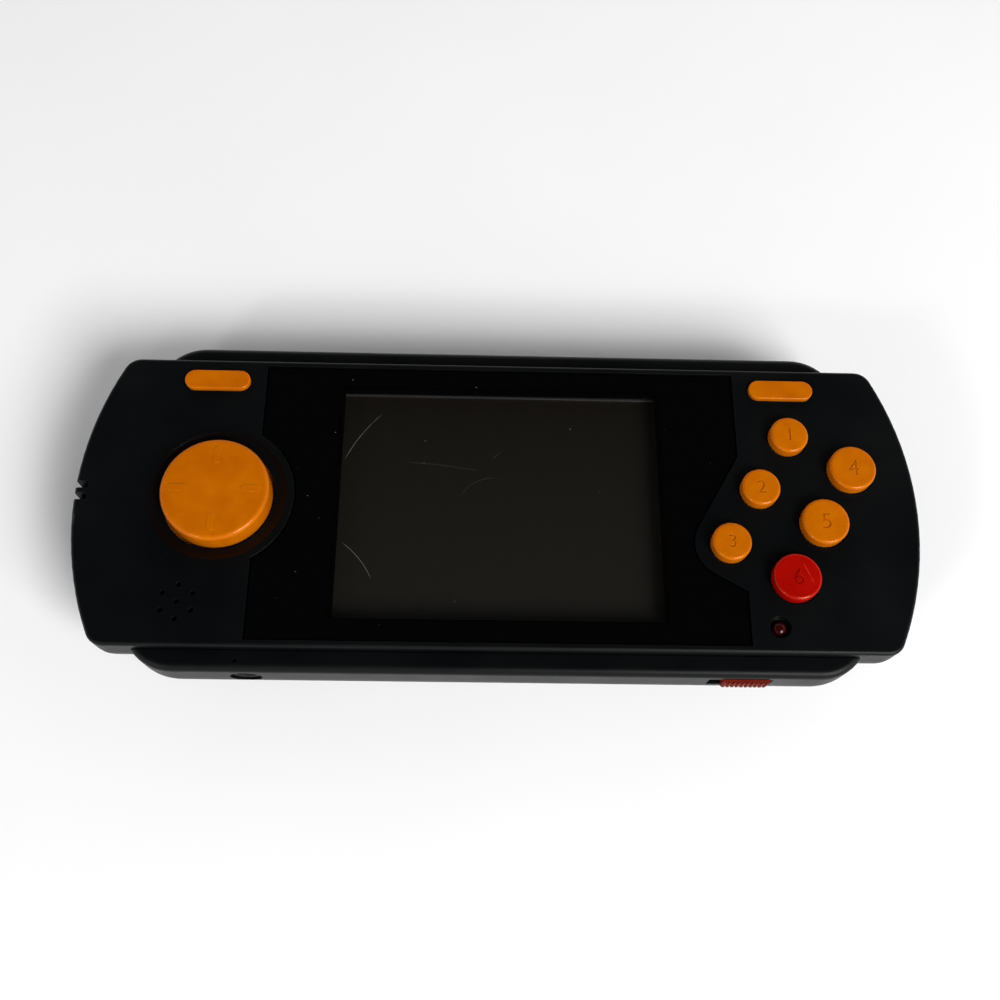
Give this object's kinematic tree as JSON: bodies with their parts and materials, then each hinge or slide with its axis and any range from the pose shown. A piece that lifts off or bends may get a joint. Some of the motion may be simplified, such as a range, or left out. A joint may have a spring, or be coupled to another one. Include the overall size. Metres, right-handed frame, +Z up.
{
  "type": "handheld game console",
  "caption": "Slim handheld game console with bowed end grips, a flat display under a glossy cover, a round direction disc, round face buttons and a wider back shell.",
  "frame": {"origin": "centre of the bounding box's bottom, on the flat that the back cover rests on", "axes": "+X to the player's right along the console, +Y to its far edge, +Z up through its face"},
  "size_m": [0.1508, 0.0632, 0.0221],
  "materials": {
    "case_plastic": "fine spark-eroded satin, dusty",
    "lens_plastic": "polished, with hairline scratches",
    "display_glass": "dark grey, polarised",
    "tape": "matt black adhesive film",
    "foam": "soft foam",
    "light_plate": "milky",
    "sheet_steel": "plated sheet",
    "flex_film": "amber film",
    "board": "solder mask",
    "component_black": "moulded",
    "component_cream": "moulded",
    "can_metal": "drawn cans",
    "orange_plastic": "semi-gloss, edges worn pale",
    "red_plastic": "semi-gloss",
    "knob_plastic": "dull, handled",
    "wheel_plastic": "satin",
    "nylon": "natural",
    "pad_rubber": "soft grey silicone",
    "led_plastic": "smoky red, clear when lit",
    "wire": "insulated",
    "battery_wrap": "shrink film",
    "contact_brass": "gold-plated spring",
    "screw_steel": "blackened"
  },
  "bodies": {
    "case": {"front_cover": "case_plastic", "back_cover": "case_plastic", "battery_door": "case_plastic", "screen_lens": "lens_plastic", "lcd_glass": "display_glass", "lens_tape": "tape", "screen_gasket": "foam", "lcd_cushions": "foam", "lcd_backlight": "light_plate", "lcd_frame": "sheet_steel", "usb_socket": "sheet_steel", "card_socket": "sheet_steel", "speaker": "sheet_steel", "lcd_ribbon": "flex_film", "main_board": "board", "main_chip": "component_black", "memory_chip": "component_black", "amplifier_chip": "component_black", "headphone_jack": "component_black", "av_jack": "component_black", "volume_pot": "component_black", "contact_block": "component_black", "power_switch": "component_black", "ribbon_connector": "component_cream", "crystal_can": "can_metal", "filter_capacitors": "can_metal", "dpad_pad": "pad_rubber", "action_pad": "pad_rubber", "left_menu_pad": "pad_rubber", "right_menu_pad": "pad_rubber", "power_led": "led_plastic", "speaker_wires": "wire", "battery_pack": "battery_wrap", "battery_contacts": "contact_brass", "case_screws": "screw_steel", "battery_door_screw": "screw_steel"},
    "dpad_rocker": {"dpad_pivot": "nylon"},
    "direction_disc": {"dpad_disc": "orange_plastic"},
    "small_upper": {"button_small_upper": "orange_plastic"},
    "small_middle": {"button_small_middle": "orange_plastic"},
    "small_lower": {"button_small_lower": "orange_plastic"},
    "large_upper": {"button_large_upper": "orange_plastic"},
    "large_middle": {"button_large_middle": "orange_plastic"},
    "red": {"button_red": "red_plastic"},
    "left_menu": {"left_menu_button": "orange_plastic"},
    "right_menu": {"right_menu_button": "orange_plastic"},
    "power_slider": {"power_knob": "knob_plastic", "switch_lever": "nylon"},
    "volume": {"volume_wheel": "wheel_plastic"}
  },
  "joints": [
    {"name": "disc_tilt_far_near", "type": "hinge", "parent": "case", "child": "dpad_rocker", "pos_m": [-0.05015, 0.0002, 0.01625], "axis": [1, 0, 0], "range_deg": [-3.5, 3.5], "stiffness_Nm_per_rad": 0.2, "deforming": ["dpad_pad"]},
    {"name": "disc_tilt_left_right", "type": "hinge", "parent": "dpad_rocker", "child": "direction_disc", "pos_m": [-0.05015, 0.0002, 0.01625], "axis": [0, 1, 0], "range_deg": [-3.5, 3.5], "stiffness_Nm_per_rad": 0.2, "deforming": ["dpad_pad"]},
    {"name": "small_upper_press", "type": "slide", "parent": "case", "child": "small_upper", "axis": [0, 0, -1], "range_m": [0, 0.0012], "stiffness_N_per_m": 1250, "deforming": ["action_pad"]},
    {"name": "small_middle_press", "type": "slide", "parent": "case", "child": "small_middle", "axis": [0, 0, -1], "range_m": [0, 0.0012], "stiffness_N_per_m": 1250, "deforming": ["action_pad"]},
    {"name": "small_lower_press", "type": "slide", "parent": "case", "child": "small_lower", "axis": [0, 0, -1], "range_m": [0, 0.0012], "stiffness_N_per_m": 1250, "deforming": ["action_pad"]},
    {"name": "large_upper_press", "type": "slide", "parent": "case", "child": "large_upper", "axis": [0, 0, -1], "range_m": [0, 0.0012], "stiffness_N_per_m": 1250, "deforming": ["action_pad"]},
    {"name": "large_middle_press", "type": "slide", "parent": "case", "child": "large_middle", "axis": [0, 0, -1], "range_m": [0, 0.0012], "stiffness_N_per_m": 1250, "deforming": ["action_pad"]},
    {"name": "red_press", "type": "slide", "parent": "case", "child": "red", "axis": [0, 0, -1], "range_m": [0, 0.0012], "stiffness_N_per_m": 1250, "deforming": ["action_pad"]},
    {"name": "left_menu_press", "type": "slide", "parent": "case", "child": "left_menu", "axis": [0, 0, -1], "range_m": [0, 0.0008], "stiffness_N_per_m": 1250, "deforming": ["left_menu_pad"]},
    {"name": "right_menu_press", "type": "slide", "parent": "case", "child": "right_menu", "axis": [0, 0, -1], "range_m": [0, 0.0008], "stiffness_N_per_m": 1250, "deforming": ["right_menu_pad"]},
    {"name": "power_slide", "type": "slide", "parent": "case", "child": "power_slider", "axis": [-1, 0, 0], "range_m": [0, 0.002]},
    {"name": "volume_turn", "type": "hinge", "parent": "case", "child": "volume", "pos_m": [0.0405, 0.0268, 0.01305], "axis": [0, 0, 1], "range_deg": [-135, 135]}
  ]
}
